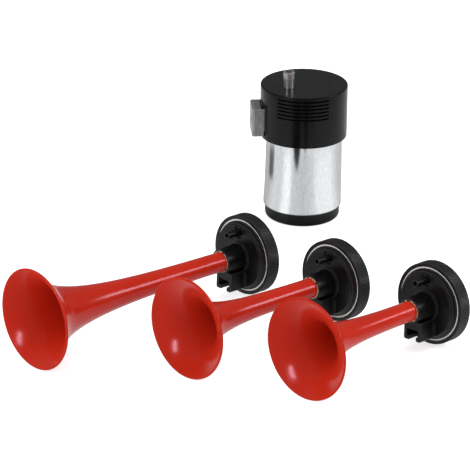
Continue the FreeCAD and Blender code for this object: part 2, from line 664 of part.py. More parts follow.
def make_bracket():
    """Zinc plated channel folded from plate; its turned-in tabs hook inside the cover's wall."""
    body = new_body("mounting_bracket")
    section = new_sketch(body, "XY_Plane", lift=d.bracket_low)
    far, side, plate, bend = bracket_reach, d.bracket_half_width, d.bracket_plate, d.bracket_bend
    back = bracket_tab_front - plate
    tab = side - d.bracket_tab_length
    front = bracket_tab_front
    small = bend - plate
    add_outline(section, [
        (back, tab), (front, tab), (front, side - plate), (far - bend, side - plate),
        (far - plate, side - bend, small, -1), (far - plate, -side + bend),
        (far - bend, -side + plate, small, -1), (front, -side + plate), (front, -tab), (back, -tab),
        (back, -side), (far - bend, -side), (far, -side + bend, bend, 1), (far, side - bend),
        (far - bend, side, bend, 1), (back, side)])
    extrude(body, section, bracket_high - d.bracket_low)
    foot = new_sketch(body, "XZ_Plane", lift=side + OVERRUN)
    box_outline(foot, back - OVERRUN, d.bracket_low - OVERRUN, bracket_stand_off, bracket_tab_low)
    extrude(body, foot, side * 2 + OVERRUN * 2, cut=True)
    hole = new_sketch(body, "YZ_Plane", lift=far + OVERRUN)
    add_circle(hole, 0, (d.bracket_low + bracket_high) / 2, d.bracket_hole_radius)
    extrude(body, hole, plate + OVERRUN * 2, cut=True)


def make_outlet():
    """Hose nipple pressed into the pump's boss, with a rubber seal under the cover's roof."""
    step = nipple_land_radius - d.nipple_radius
    turned("outlet_nipple", [
        (nipple_bore, pump_top), (d.nipple_radius, pump_top),
        (d.nipple_radius, nipple_land_height - step), (nipple_land_radius, nipple_land_height),
        (nipple_land_radius, nipple_top - d.nipple_chamfer),
        (nipple_land_radius - d.nipple_chamfer, nipple_top), (nipple_bore, nipple_top)])
    plain_ring("outlet_seal", d.nipple_radius, seal_radius, boss_top, cover_roof)


def make_filter():
    bore = cover_bore - d.filter_gap
    turned("intake_filter", [
        (bore - d.filter_thickness, filter_low), (bore, filter_low),
        (bore, filter_high), (bore - d.filter_thickness, filter_high)], angle=d.filter_angle)


# Compressor: motor

def make_motor_iron():
    for label in ("magnet_right", "magnet_left"):
        turned(label, [
            (magnet_bore, magnet_low), (magnet_radius, magnet_low),
            (magnet_radius, magnet_high), (magnet_bore, magnet_high)],
            angle=d.magnet_angle)
    core = new_body("armature_core")
    disc = new_sketch(core, "XY_Plane", lift=core_low)
    add_circle(disc, 0, 0, d.core_radius)
    add_circle(disc, 0, 0, d.shaft_radius)
    extrude(core, disc, core_high - core_low)
    doc.recompute()
    slot = new_sketch(core, "XY_Plane", lift=core_high)
    mouth = d.core_radius + OVERRUN
    add_outline(slot, [
        (d.slot_inner, -d.slot_inner_half), (slot_outer, -d.slot_outer_half),
        (slot_outer, -d.slot_mouth_half), (mouth, -d.slot_mouth_half), (mouth, d.slot_mouth_half),
        (slot_outer, d.slot_mouth_half), (slot_outer, d.slot_outer_half),
        (d.slot_inner, d.slot_inner_half)])
    pattern_round(core, extrude(core, slot, core_high - core_low, cut=True), d.core_slots)


def make_winding():
    """Copper in every slot, joined by the rounded end turns above and below the core."""
    clear, end = d.coil_clear.value, d.coil_end.value
    low, high = core_low.value, core_high.value
    inner, outer = d.coil_end_inner.value, coil_end_outer.value
    corner = d.coil_end_round.value
    rings = []
    for base, tip in ((low, low - end), (high, high + end)):
        side = 1 if tip > base else -1
        inset = tip - side * corner
        outline = [(inner, base), (outer, base), (outer, inset), (outer - corner, tip),
                   (inner + corner, tip), (inner, inset)]
        points = [vec(r, 0, z) for r, z in outline]
        face = Part.Face(Part.makePolygon(points + points[:1]))
        rings.append(face.revolve(vec(), vec(0, 0, 1), FULL_TURN))
    root, tip = d.slot_inner.value + clear, slot_outer.value - clear
    near, far = d.slot_inner_half.value - clear, d.slot_outer_half.value - clear
    corners = [vec(root, -near, low), vec(tip, -far, low), vec(tip, far, low), vec(root, near, low)]
    bar = Part.Face(Part.makePolygon(corners + corners[:1])).extrude(vec(0, 0, high - low))
    count = int(d.core_slots.value)
    bars = []
    for i in range(count):
        copy = bar.copy()
        copy.rotate(vec(), vec(0, 0, 1), FULL_TURN * i / count)
        bars.append(copy)
    shaped("armature_winding", rings[0].fuse([rings[1]] + bars).removeSplitter().Solids[0])


def make_commutator():
    body = plain_ring("commutator", d.shaft_radius, d.commutator_radius,
                      commutator_low, commutator_high)
    slit = new_sketch(body, "XY_Plane", lift=commutator_high)
    half = d.commutator_slit / 2
    box_outline(slit, d.commutator_radius - d.commutator_slit_depth, -half,
                d.commutator_radius + OVERRUN, half)
    pattern_round(body, extrude(body, slit, commutator_high - commutator_low, cut=True),
                  d.core_slots)


def make_shaft_and_bushes():
    bottom = d.hub_bottom + d.hub_floor + d.end_play
    shaft = turned("motor_shaft", [(0, bottom), (d.shaft_radius, bottom),
                                   (d.shaft_radius, shaft_top), (0, shaft_top)])
    flat = new_sketch(shaft, "XY_Plane", lift=shaft_top)
    edge = d.shaft_radius + OVERRUN
    box_outline(flat, d.shaft_radius - d.drive_flat, -edge, edge, edge)
    extrude(shaft, flat, shaft_top - pump_floor, cut=True)
    bore = d.shaft_radius + d.shaft_clear
    low = d.hub_bottom + d.hub_floor
    lower_top = low + d.lower_bush_length
    washer_top = lower_top + d.end_play + d.washer_thickness
    plain_ring("core_spacer", d.shaft_radius, washer_radius, washer_top + d.end_play, core_low)
    plain_ring("lower_bush", bore, bush_radius, low, lower_top)
    plain_ring("upper_bush", bore, bush_radius, upper_bush_low, plate_top)
    washer_bore = d.shaft_radius + d.washer_clear
    plain_ring("lower_thrust_washer", washer_bore, washer_radius,
               lower_top + d.end_play, washer_top)
    plain_ring("upper_thrust_washer", washer_bore, washer_radius,
               commutator_high, commutator_high + d.washer_thickness)


def make_brush_gear():
    """Plastic card with two brush boxes under it, carbon brushes, bowed strips and blades."""
    card = plain_ring("brush_card", card_bore, card_radius, card_low, card_low + d.card_thickness)
    box = new_sketch(card, "XZ_Plane")
    wide, low = d.box_half_width, card_low - d.box_height
    box_outline(box, box_start, low, box_end, card_low + d.card_thickness / 2)
    box_pad = extrude(card, box, wide * 2)
    box_pad.Midplane = True
    channel = new_sketch(card, "YZ_Plane", lift=box_start - OVERRUN)
    half = d.brush_half_width + d.brush_clear
    top = card_low - d.brush_clear
    box_outline(channel, -half, top - d.brush_height - d.brush_clear * 2, half, top)
    hollow = extrude(card, channel, box_end - box_start - OVERRUN, cut=True, reverse=True)
    pattern = card.newObject("PartDesign::PolarPattern", "Pair_brush_card")
    pattern.Originals = [box_pad, hollow]
    axis = [o for o in card.Origin.OriginFeatures if o.Role == "Z_Axis"][0]
    pattern.Axis = (axis, [""])
    pattern.Angle = FULL_TURN
    pattern.Occurrences = 2
    card.Tip = pattern
    brush_top = top - d.brush_clear
    strip_end = box_end - OVERRUN * 2 - d.brush_clear
    for side in ("right", "left"):
        brush = new_body("brush_" + side)
        block = new_sketch(brush, "XY_Plane", lift=brush_top - d.brush_height)
        box_outline(block, d.commutator_radius - d.commutator_slit_depth, -d.brush_half_width,
                    brush_end, d.brush_half_width)
        extrude(brush, block, d.brush_height)
        doc.recompute()
        hollow = new_sketch(brush, "XY_Plane", lift=brush_top + OVERRUN)
        add_circle(hollow, 0, 0, d.commutator_radius + d.brush_gap)
        extrude(brush, hollow, d.brush_height + OVERRUN * 2, cut=True)
        strip = new_body("brush_spring_" + side)
        bow = new_sketch(strip, "XY_Plane", lift=brush_top - d.brush_height)
        reach = strip_end - brush_end
        radius = reach * 0.75
        thin, y = d.spring_strip, d.spring_bow
        add_outline(bow, [
            (brush_end, -y), (strip_end, -y, radius, 1), (strip_end, -y + thin),
            (brush_end, -y + thin, radius, -1)])
        extrude(strip, bow, d.brush_height)
    base = card_low + d.card_thickness
    for label, sign in (("terminal_positive", 1), ("terminal_negative", -1)):
        blade = new_body(label)
        sketch = new_sketch(blade, "XY_Plane", lift=base)
        near, far = d.blade_inner * sign, (d.blade_inner + d.blade_width) * sign
        cut = d.blade_corner
        add_outline(sketch, [
            (near, -blade_start), (near, -blade_end + cut), (near + cut * sign, -blade_end),
            (far - cut * sign, -blade_end), (far, -blade_end + cut), (far, -blade_start)])
        middle = (near + far) / 2
        add_circle(sketch, middle, -blade_end + d.blade_hole_back, d.blade_hole_radius)
        extrude(blade, sketch, d.blade_thickness)


# Compressor: end plate and vane pump

def bore_screw_holes(body, radius, low, high):
    """Four holes on the pump's screw circle."""
    sketch = new_sketch(body, "XY_Plane", lift=high + OVERRUN)
    across = screw_circle.value * math.cos(math.radians(d.screw_angle.value))
    along = screw_circle.value * math.sin(math.radians(d.screw_angle.value))
    angle = "(%s * 1 deg)" % d.screw_angle.text
    x = Size(across, "(%s * cos%s)" % (screw_circle.text, angle))
    y = Size(along, "(%s * sin%s)" % (screw_circle.text, angle))
    add_circle(sketch, x, y, radius)
    pattern_round(body, extrude(body, sketch, high - low + OVERRUN * 2, cut=True), d.screw_count)


def make_end_plate():
    low, high = d.can_top, plate_top
    body = turned("motor_end_plate", [
        (shaft_hole_radius, plate_hub_bottom), (plate_hub_radius, plate_hub_bottom),
        (plate_hub_radius, low), (d.can_radius, low), (d.can_radius, high), (bush_radius, high),
        (bush_radius, upper_bush_low), (shaft_hole_radius, upper_bush_low)])
    bore_screw_holes(body, d.screw_radius, low, high)


def make_pump():
    gasket = plain_ring("pump_gasket", gasket_low_bore, pump_radius, plate_top, gasket_low_top)
    bore_screw_holes(gasket, screw_hole_radius, plate_top, gasket_low_top)
    lower = plain_ring("pump_lower_plate", shaft_hole_radius, pump_radius, gasket_low_top, pump_floor)
    bore_screw_holes(lower, screw_hole_radius, gasket_low_top, pump_floor)
    ring = new_body("pump_ring")
    section = new_sketch(ring, "XY_Plane", lift=pump_floor)
    add_circle(section, 0, 0, pump_radius)
    add_circle(section, -d.ring_across, d.ring_along, ring_bore_radius)
    extrude(ring, section, d.ring_height)
    doc.recompute()
    bore_screw_holes(ring, screw_hole_radius, pump_floor, pump_roof)


def make_pump_roof():
    """Upper plate with the intake hole, the outlet port with its groove, and the nipple's boss."""
    roof, top = pump_roof, pump_top
    body = turned("pump_upper_plate", [(0, roof), (pump_radius, roof), (pump_radius, top), (0, top)])
    middle = roof + d.upper_plate_thickness / 2
    boss = new_sketch(body, "XY_Plane", lift=middle)
    add_circle(boss, d.outlet_across, d.outlet_along, outlet_boss_radius)
    extrude(body, boss, boss_top - middle)
    seat = new_sketch(body, "XY_Plane", lift=boss_top + OVERRUN)
    add_circle(seat, d.outlet_across, d.outlet_along, d.nipple_radius)
    extrude(body, seat, boss_top - top + OVERRUN, cut=True)
    port = new_sketch(body, "XY_Plane", lift=top)
    add_circle(port, d.outlet_across, d.outlet_along, d.outlet_port_radius)
    extrude(body, port, d.upper_plate_thickness + OVERRUN, cut=True)
    for number in (1, 2):
        reach = d.port_step_share * number + 1
        groove = new_sketch(body, "XY_Plane", lift=roof + d.port_depth)
        add_circle(groove, d.outlet_across * reach, d.outlet_along * reach, d.outlet_port_radius)
        extrude(body, groove, d.port_depth + OVERRUN, cut=True)
    intake = new_sketch(body, "XY_Plane", lift=top + OVERRUN)
    add_circle(intake, -d.intake_across, -d.intake_along, d.intake_radius)
    extrude(body, intake, d.upper_plate_thickness + OVERRUN * 2, cut=True)
    bore_screw_holes(body, screw_hole_radius, roof, top)


def make_pump_rotor():
    low, high = pump_floor + d.rotor_play, pump_roof - d.rotor_play
    rotor = new_body("pump_rotor")
    disc = new_sketch(rotor, "XY_Plane", lift=low)
    add_circle(disc, 0, 0, pump_rotor_radius)
    extrude(rotor, disc, high - low)
    doc.recompute()
    bore = new_sketch(rotor, "XY_Plane", lift=high)
    radius, flat = d.shaft_radius + d.drive_clear, d.shaft_radius - d.drive_flat + d.drive_clear
    half = math.sqrt(radius.value ** 2 - flat.value ** 2)
    chord = Size(half, "sqrt(%s ^ 2 - %s ^ 2)" % (radius.text, flat.text))
    add_outline(bore, [(flat, -chord, radius, 1), (flat, chord), (-radius, 0, radius, 1)])
    extrude(rotor, bore, high - low, cut=True)
    slot = new_sketch(rotor, "XY_Plane", lift=high)
    half_slot = d.vane_slot / 2
    box_outline(slot, vane_slot_root, -half_slot, pump_rotor_radius + OVERRUN, half_slot)
    pattern_round(rotor, extrude(rotor, slot, high - low, cut=True), d.vane_count)
    for number in range(int(d.vane_count.value)):
        vane = new_body("vane_%d" % (number + 1))
        face = new_sketch(vane, "XY_Plane", lift=low)
        half_vane = d.vane_slot / 2 - d.vane_clear
        box_outline(face, vane_slot_root + d.vane_clear, -half_vane,
                    pump_rotor_radius - d.vane_tip_back, half_vane)
        extrude(vane, face, high - low)


def make_pump_screws():
    """Four socket screws through the pump into the motor's end plate, as one group."""
    top, low = pump_top.value, d.can_top.value
    axis = vec(0, 0, 1)
    shank = Part.makeCylinder(d.screw_radius.value, top - low, vec(0, 0, low), axis)
    head = Part.makeCylinder(screw_head_radius.value, d.screw_head_height.value, vec(0, 0, top), axis)
    depth = d.screw_socket_depth.value
    socket_low = top + d.screw_head_height.value - depth
    corners = [vec(screw_socket_radius.value, 0, socket_low)]
    for step in range(1, 6):
        corner = corners[0] - vec()
        corner = FreeCAD.Rotation(axis, FULL_TURN * step / 6).multVec(corner)
        corners.append(corner)
    socket = Part.Face(Part.makePolygon(corners + corners[:1])).extrude(vec(0, 0, depth + OVERRUN))
    screw = shank.fuse(head).cut(socket).removeSplitter().Solids[0]
    screws = []
    count = int(d.screw_count.value)
    for i in range(count):
        copy = screw.copy()
        copy.translate(vec(screw_circle.value, 0, 0))
        copy.rotate(vec(), axis, d.screw_angle.value + FULL_TURN * i / count)
        screws.append(copy)
    shaped("pump_screws", Part.makeCompound(screws))


TRUMPETS = ("long", "middle", "short")
for trumpet in TRUMPETS:
    make_trumpet(trumpet)
    make_housing(trumpet)
    make_head_seals(trumpet)
    shaped(trumpet + "_rear_cap", knurled_cap_shape())
make_base_cap()
make_motor_can()
make_top_cover()
make_bracket()
make_outlet()
make_filter()
make_motor_iron()
make_winding()
make_commutator()
make_shaft_and_bushes()
make_brush_gear()
make_end_plate()
make_pump()
make_pump_roof()
make_pump_rotor()
make_pump_screws()
doc.recompute()


# Places in the row frame

def trumpet_place(name):
    """A trumpet rests on its bell's lip and on the back edge of its rear cap's rim."""
    length = getattr(d, name + "_length").value
    lip_back = d.lip_bead_radius.value
    rim_back = (d.cap_rim_width - d.cap_back_chamfer).value
    span = length - lip_back + rim_back
    pitch = math.atan((d.mouth_radius - cap_rim_radius).value / span)
    height = cap_rim_radius.value * math.cos(pitch) + rim_back * math.sin(pitch)
    turn = math.radians(getattr(d, name + "_turn").value)
    lean = FreeCAD.Rotation(vec(1, 0, 0), 90 - math.degrees(pitch))
    yaw = FreeCAD.Rotation(vec(0, 0, 1), math.degrees(turn))
    roll = FreeCAD.Rotation(vec(0, 0, 1), getattr(d, name + "_roll").value)
    rotation = yaw.multiply(lean).multiply(roll)
    mouth = vec(getattr(d, name + "_across").value, getattr(d, name + "_along").value, 0)
    reach = rotation.multVec(vec(0, 0, length))
    base = vec(mouth.x - reach.x, mouth.y - reach.y, height)
    return FreeCAD.Placement(base, rotation)


def compressor_place(extra_turn=0):
    base = vec(d.compressor_across.value, d.compressor_along.value, 0)
    return FreeCAD.Placement(base, FreeCAD.Rotation(vec(0, 0, 1), d.compressor_turn.value + extra_turn))


def own_turn(label):
    """Extra turn about the compressor's axis of the pieces that are drawn on +X."""
    if label in ("magnet_left", "brush_left", "brush_spring_left"):
        return FULL_TURN / 2
    if label == "intake_filter":
        return FULL_TURN / 4 + d.louvre_turn.value
    if label.startswith("vane_"):
        return FULL_TURN * (int(label[-1]) - 1) / d.vane_count.value
    return 0


def place_all():
    for label, piece in pieces.items():
        name = label.split("_")[0]
        if name in TRUMPETS:
            piece.Placement = trumpet_place(name)
        elif label in ("outlet_nipple", "outlet_seal"):
            offset = FreeCAD.Placement(vec(d.outlet_across.value, d.outlet_along.value, 0),
                                       FreeCAD.Rotation())
            piece.Placement = compressor_place().multiply(offset)
        else:
            piece.Placement = compressor_place(own_turn(label))
    doc.recompute()
    box = Part.makeCompound([piece.Shape for piece in pieces.values()]).optimalBoundingBox(False, False)
    shift = vec(-(box.XMin + box.XMax) / 2, -(box.YMin + box.YMax) / 2, 0)
    for piece in pieces.values():
        piece.Placement = FreeCAD.Placement(shift, FreeCAD.Rotation()).multiply(piece.Placement)
    doc.recompute()


def check_and_write():
    faults = [o.Label for o in doc.Objects if "Invalid" in o.State or "Error" in o.State]
    for label, piece in pieces.items():
        if piece.Shape.isNull() or not piece.Shape.isValid() or not piece.Shape.Solids:
            faults.append(label)
    if faults:
        raise RuntimeError("these did not build: " + ", ".join(faults))
    os.makedirs("parts", exist_ok=True)
    for label, piece in pieces.items():
        piece.Shape.exportStep("parts/%s.step" % label)
        print(label, len(piece.Shape.Solids), round(piece.Shape.Volume, 2))


place_all()
check_and_write()
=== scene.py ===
"""Looks of the air horn set: camera, plain studio, materials and moulded details on the CAD frame."""
import json
import math

import bpy
import bmesh
from mathutils import Matrix, Vector


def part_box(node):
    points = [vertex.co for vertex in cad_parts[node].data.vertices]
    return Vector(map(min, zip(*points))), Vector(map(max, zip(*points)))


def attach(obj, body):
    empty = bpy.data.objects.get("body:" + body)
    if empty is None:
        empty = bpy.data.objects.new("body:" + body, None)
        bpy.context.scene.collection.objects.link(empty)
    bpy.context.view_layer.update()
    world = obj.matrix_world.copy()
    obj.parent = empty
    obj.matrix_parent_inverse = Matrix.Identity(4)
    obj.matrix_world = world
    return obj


MM = 0.001
IMAGE_SIZE = 470

# Camera, from a fit to the ellipses of the bells, heads and compressor
CAMERA_PLACE = (1.43395, -1.39702, 0.92213)
CAMERA_HEADING = 46.4
CAMERA_DOWN = 23.30
CAMERA_ROLL = 0.55
CAMERA_REACH = 20
FOCAL_PIXELS = 3085.8
SENSOR_WIDTH = 36.0

# Room round the set: its light on the object, and how bright gloss sees it
ROOM_LIGHT = 0.42
ROOM_GLOSS = 0.2

# Height in metres above which zinc plate belongs to the outlet nipple
NIPPLE_FOOT = 0.1

# Painted edge highlights: how far the rounded normal turns where the highlight starts and where it is
# full
EDGE_START = 0.005
EDGE_FULL = 0.05

# Folded lip over the bracket's channel, in mm
LID_REACH = 6.0
LID_THICKNESS = 1.5
LID_HALF_WIDTH = 9.65
LID_FRONT_HALF = 8.6
LID_CORNER = 1.1
LID_GAP = 0.02

# Bare oval on the cover's top: centre in metres, half axes and rim in mm or shares of them
OVAL_PLACE = (-0.1022, 0.1574, 0.1061)
OVAL_AXES = (((0.69, 0.724, 0.0), 8.6), ((-0.724, 0.69, 0.0), 10.6))
OVAL_RIM = (0.04, 0.09)

# Painted reflection met by gloss alone on the floor round the compressor: heading in degrees and
# brightness.
# There are no such boards: the levels were set until the can's bands matched the photograph
COMPRESSOR = (-0.113361, 0.147174, 0.0)
PAINTED_REFLECTION_LEVELS = ((-180, 0.5), (-150, 0.53), (-128, 0.77), (-103, 0.77), (-92, 1.1), (-80, 1.17), (-71, 0.72),
          (-45, 0.62), (-20, 0.74), (-8, 1.0), (30, 1.05), (66, 0.64), (95, 0.57), (180, 0.5))
PAINTED_REFLECTION_REACH = 0.165
PAINTED_REFLECTION_GAIN = 1.03
# Paler painted reflection farther out, fading to the plain level
SHEET_REACH = 0.29
SHEET_LIGHT = 0.85
EDGE_FADE = 1.2
# Painted dark strip in that reflection, and painted shade round the can's foot
STRIP_HEADING = -141.0
STRIP_HALF = 13.0
STRIP_START = 0.1
STRIP_FADE = 1.15
STRIP_DARK = 0.8
FOOT_START = 0.032
FOOT_END = 0.052
FOOT_LIGHT = 0.4
FLOOR_GLOSS = 0.2
FLOOR_GLOW = 0.7
FLOOR_HALF = 6.0


def colour(code):
    """Linear colour of an sRGB hex code."""
    parts = [int(code[i:i + 2], 16) / 255 for i in (0, 2, 4)]
    linear = [p / 12.92 if p <= 0.04045 else ((p + 0.055) / 1.055) ** 2.4 for p in parts]
    return (*linear, 1.0)


def add(tree, kind, inputs=None, **settings):
    """A shader node with its settings, and its inputs set to values or linked to sockets."""
    made = tree.nodes.new("ShaderNode" + kind)
    for name, value in settings.items():
        setattr(made, name, value)
    for name, value in (inputs or {}).items():
        socket = made.inputs[name]
        if isinstance(value, bpy.types.NodeSocket):
            tree.links.new(value, socket)
        else:
            socket.default_value = value
    return made


def set_camera():
    """The photograph's viewing angle."""
    data = bpy.data.cameras.new("camera")
    data.sensor_width = SENSOR_WIDTH
    data.lens = FOCAL_PIXELS / IMAGE_SIZE * SENSOR_WIDTH
    data.clip_end = CAMERA_REACH
    camera = bpy.data.objects.new("camera", data)
    turn = (Matrix.Rotation(math.radians(CAMERA_HEADING), 4, "Z")
            @ Matrix.Rotation(math.radians(90 - CAMERA_DOWN), 4, "X")
            @ Matrix.Rotation(math.radians(CAMERA_ROLL), 4, "Z"))
    camera.matrix_world = Matrix.Translation(CAMERA_PLACE) @ turn
    bpy.context.scene.collection.objects.link(camera)
    bpy.context.scene.camera = camera


# Materials

class Surface:
    """A material in the making: principled shader, object coordinates and a stack of bumps."""

    def __init__(self, name, base, roughness, metallic=0.0, specular=0.5):
        self.material = bpy.data.materials.new(name)
        self.material.use_nodes = True
        self.tree = self.material.node_tree
        self.tree.nodes.clear()
        output = add(self.tree, "OutputMaterial")
        self.shader = add(self.tree, "BsdfPrincipled", {
            "Base Color": colour(base), "Roughness": roughness, "Metallic": metallic,
            "Specular IOR Level": specular})
        self.tree.links.new(self.shader.outputs[0], output.inputs[0])
        self.place = add(self.tree, "TexCoord").outputs["Object"]
        self.normal = None

    def feed(self, socket, value):
        self.tree.links.new(value, self.shader.inputs[socket])

    def measured(self, size_mm, centre=(0, 0, 0)):
        """Coordinates in which one unit is size_mm, or one size for each axis."""
        sizes = size_mm if isinstance(size_mm, tuple) else (size_mm,) * 3
        moved = add(self.tree, "VectorMath", {0: self.place, 1: centre}, operation="SUBTRACT")
        grown = add(self.tree, "VectorMath", {0: moved.outputs[0], 1: [1 / (s * MM) for s in sizes]},
                    operation="MULTIPLY")
        return grown.outputs[0]

    def clouds(self, size_mm, detail=3.0, rough=0.5):
        """Irregular patches of about size_mm, or streaks where it has a size for each axis."""
        made = add(self.tree, "TexNoise", {
            "Vector": self.measured(size_mm), "Scale": 1.0, "Detail": detail, "Roughness": rough})
        return made.outputs["Fac"]

    def tint(self, pattern, first, second, low=0.3, high=0.7):
        """The base colour runs between two hex codes as the pattern goes from low to high."""
        share = add(self.tree, "MapRange", {"Value": pattern, "From Min": low, "From Max": high})
        mixed = add(self.tree, "Mix", {0: share.outputs[0], 6: colour(first), 7: colour(second)},
                    data_type="RGBA")
        self.feed("Base Color", mixed.outputs[2])

    def gloss(self, pattern, first, second):
        """The roughness wanders between two values with the pattern."""
        made = add(self.tree, "MapRange", {
            "Value": pattern, "From Min": 0.3, "From Max": 0.7, "To Min": first, "To Max": second})
        self.feed("Roughness", made.outputs[0])

    def soften_edges(self, radius_mm):
        """Edges catch light as if they were rounded."""
        made = add(self.tree, "Bevel", {"Radius": radius_mm * MM}, samples=4)
        self.normal = made.outputs[0]
        self.feed("Normal", self.normal)

    def edges(self, radius_mm):
        """0 on open faces and 1 where the surface turns within radius_mm."""
        turned = add(self.tree, "Bevel", {"Radius": radius_mm * MM}, samples=6)
        plain = add(self.tree, "NewGeometry").outputs["Normal"]
        dot = add(self.tree, "VectorMath", {0: turned.outputs[0], 1: plain}, operation="DOT_PRODUCT")
        made = add(self.tree, "MapRange", {
            "Value": dot.outputs["Value"], "From Min": 1.0 - EDGE_START, "From Max": 1.0 - EDGE_FULL})
        return made.outputs[0]

    def tone_and_painted_highlight(self, mask, code):
        """The base colour turns to a hex code where the mask is 1."""
        below = self.shader.inputs["Base Color"].links[0].from_socket
        made = add(self.tree, "Mix", {0: mask, 6: below, 7: colour(code)}, data_type="RGBA")
        self.feed("Base Color", made.outputs[2])

    def bump(self, height, depth_mm):
        inputs = {"Height": height, "Distance": depth_mm * MM, "Strength": 1.0}
        if self.normal is not None:
            inputs["Normal"] = self.normal
        made = add(self.tree, "Bump", inputs)
        self.normal = made.outputs[0]
        self.feed("Normal", self.normal)


def red_trumpet_plastic():
    """Injection moulded plastic with a soft gloss: deep even red, faint flow clouds, a slow ripple."""
    s = Surface("red_trumpet_plastic", "C42A16", 0.17, specular=0.3)
    s.shader.inputs["Specular Tint"].default_value = colour("FFD0E6")
    s.tint(s.clouds(45.0, 1.0), "C22814", "C72C18", 0.35, 0.65)
    s.gloss(s.clouds(11.0), 0.15, 0.19)
    s.bump(s.clouds(14.0, 0.0), 0.03)
    return s.material


def black_head_plastic():
    """Black glass-filled plastic: spark-eroded grain, drawn coarse to show, and painted highlights on
    edges.
    """
    s = Surface("black_head_plastic", "151515", 0.38, specular=0.22)
    s.tint(s.clouds(1.1, 4.0), "060606", "131313", 0.35, 0.65)
    # Painted highlight: edges turn paler where they would catch light
    s.tone_and_painted_highlight(s.edges(1.0), "353535")
    s.gloss(s.clouds(2.5, 4.0), 0.3, 0.44)
    s.soften_edges(0.3)
    s.bump(s.clouds(0.7, 2.0), 0.04)
    s.bump(s.clouds(4.0, 2.0), 0.03)
    return s.material


def black_cover_plastic():
    """Smooth black moulded plastic with slow sink marks in its gloss."""
    s = Surface("black_cover_plastic", "0C0C0C", 0.2, specular=0.22)
    s.tint(s.clouds(12.0), "0A0A0A", "101010")
    s.gloss(s.clouds(4.0, 4.0), 0.16, 0.26)
    s.soften_edges(0.3)
    s.bump(s.clouds(15.0, 1.0), 0.03)
    s.bump(oval_rim(s), 0.12)
    return s.material


def oval_rim(s):
    """1 on the thin rim of the bare oval on the cover's top, 0 elsewhere."""
    offset = s.measured(1.0, OVAL_PLACE)
    reach = []
    for axis, half in OVAL_AXES:
        side = add(s.tree, "VectorMath", {0: offset, 1: axis}, operation="DOT_PRODUCT").outputs["Value"]
        reach.append(add(s.tree, "Math", {0: side, 1: half}, operation="DIVIDE").outputs[0])
    point = add(s.tree, "CombineXYZ", {0: reach[0], 1: reach[1], 2: 0.0}).outputs[0]
    around = add(s.tree, "VectorMath", {0: point}, operation="LENGTH").outputs["Value"]
    off = add(s.tree, "Math", {0: around, 1: 1.0}, operation="SUBTRACT").outputs[0]
    aside = add(s.tree, "Math", {0: off}, operation="ABSOLUTE").outputs[0]
    rim = add(s.tree, "MapRange", {
        "Value": aside, "From Min": OVAL_RIM[0], "From Max": OVAL_RIM[1], "To Min": 1, "To Max": 0})
    return rim.outputs[0]


def plated_can_steel():
    """Bright nickel on drawn steel: upright drawing lines, soft clouds and small pits."""
    s = Surface("plated_can_steel", "E6E8EA", 0.2, metallic=1.0)
    lines = s.clouds((0.5, 0.5, 26.0), 4.0, 0.6)
    s.tint(s.clouds((1.5, 1.5, 4.0), 4.0), "DFE2E4", "EDEFF1", 0.35, 0.65)
    s.gloss(lines, 0.09, 0.17)
    s.bump(lines, 0.0026)
    s.bump(s.clouds(1.4), 0.0012)
    return s.material


def zinc_plate():
    """Zinc plated steel: dull upright streaks, painted highlights on edges, and a brighter turned
    nipple.
    """
    s = Surface("zinc_plate", "B4B7B9", 0.3, metallic=0.75)
    s.tint(s.clouds((1.2, 1.2, 5.0), 4.0), "ACAFB1", "8B8F91", 0.35, 0.65)
    height = add(s.tree, "SeparateXYZ", {0: s.place}).outputs[2]
    nipple = add(s.tree, "MapRange", {
        "Value": height, "From Min": NIPPLE_FOOT, "From Max": NIPPLE_FOOT + MM}).outputs[0]
    s.tone_and_painted_highlight(nipple, "D0D2D3")
    s.feed("Metallic", add(s.tree, "MapRange", {
        "Value": nipple, "To Min": 0.75, "To Max": 0.9}).outputs[0])
    # Painted highlight: edges turn bright where they would catch light
    s.tone_and_painted_highlight(s.edges(0.6), "E4E6E7")
    s.gloss(s.clouds(0.9, 4.0), 0.26, 0.44)
    s.soften_edges(0.25)
    s.bump(s.clouds(0.7), 0.015)
    return s.material


def bright_band_steel():
    """Satin plated band, pale from every side, with fine rolling lines along it."""
    s = Surface("bright_band_steel", "F4F5F6", 0.3, metallic=0.25)
    s.gloss(s.clouds((0.6, 0.15, 0.6)), 0.24, 0.36)
    s.bump(s.clouds((0.8, 0.1, 0.8), 2.0), 0.004)
    return s.material


def machined_metal(name, base, second, roughness, line_mm=0.2):
    """Turned or ground metal with fine machining lines."""
    s = Surface(name, base, roughness, metallic=1.0)
    lines = s.clouds((3.0, 3.0, line_mm))
    s.tint(s.clouds(4.0), base, second)
    s.gloss(lines, roughness - 0.08, roughness + 0.1)
    s.bump(lines, 0.008)
    return s.material


def dull_solid(name, base, second, roughness, grain_mm, depth_mm):
    """Unplated inner materials: sintered, pressed or cast, with their own grain."""
    s = Surface(name, base, roughness)
    grain = s.clouds(grain_mm, 4.0)
    s.tint(grain, base, second)
    s.gloss(s.clouds(grain_mm * 3, 2.0), roughness - 0.08, min(roughness + 0.1, 1))
    s.bump(grain, depth_mm)
    return s.material


def open_foam():
    """Open polyurethane foam of the intake filter: pores painted dark as their shade, no gloss."""
    s = Surface("open_foam", "1A1A1A", 0.95)
    pores = add(s.tree, "TexVoronoi", {"Vector": s.measured(0.9), "Scale": 1.0}).outputs["Distance"]
    # Darker towards the pore centres: painted shade in the pores
    s.tint(pores, "050505", "242424", 0.1, 0.7)
    s.bump(pores, 0.4)
    return s.material


def set_adhesive():
    """Whitish set glue with small bubbles and a wavy surface."""
    s = Surface("set_adhesive", "B0A088", 0.28)
    s.tint(s.clouds(2.2), "33261A", "C8B79A", 0.42, 0.6)
    s.gloss(s.clouds(0.8), 0.2, 0.45)
    s.bump(s.clouds(1.2), 0.12)
    return s.material


